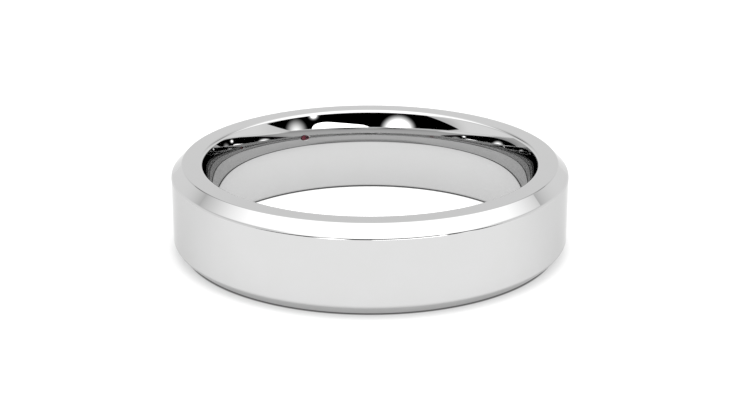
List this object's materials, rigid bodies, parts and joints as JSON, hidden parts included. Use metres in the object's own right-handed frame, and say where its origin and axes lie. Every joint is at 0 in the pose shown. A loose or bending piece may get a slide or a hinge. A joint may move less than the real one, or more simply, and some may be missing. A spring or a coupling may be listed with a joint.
{
  "type": "wedding band",
  "caption": "Polished white metal wedding band, flat outside with bevelled edges and a comfort-fit bore, with a small round ruby flush-set inside to lie hidden against the finger.",
  "frame": {"origin": "centre of the ring: on the finger's axis, at mid width", "axes": "+Z along the finger, so that the band lies flat on its lower rim; the ruby is in the bore at 20 degrees from +X towards -Y"},
  "size_m": [0.0224, 0.0224, 0.005],
  "materials": {
    "white_gold": "polished",
    "ruby": "polished"
  },
  "bodies": {
    "root": {"band": "white_gold", "ruby": "ruby"}
  },
  "joints": []
}
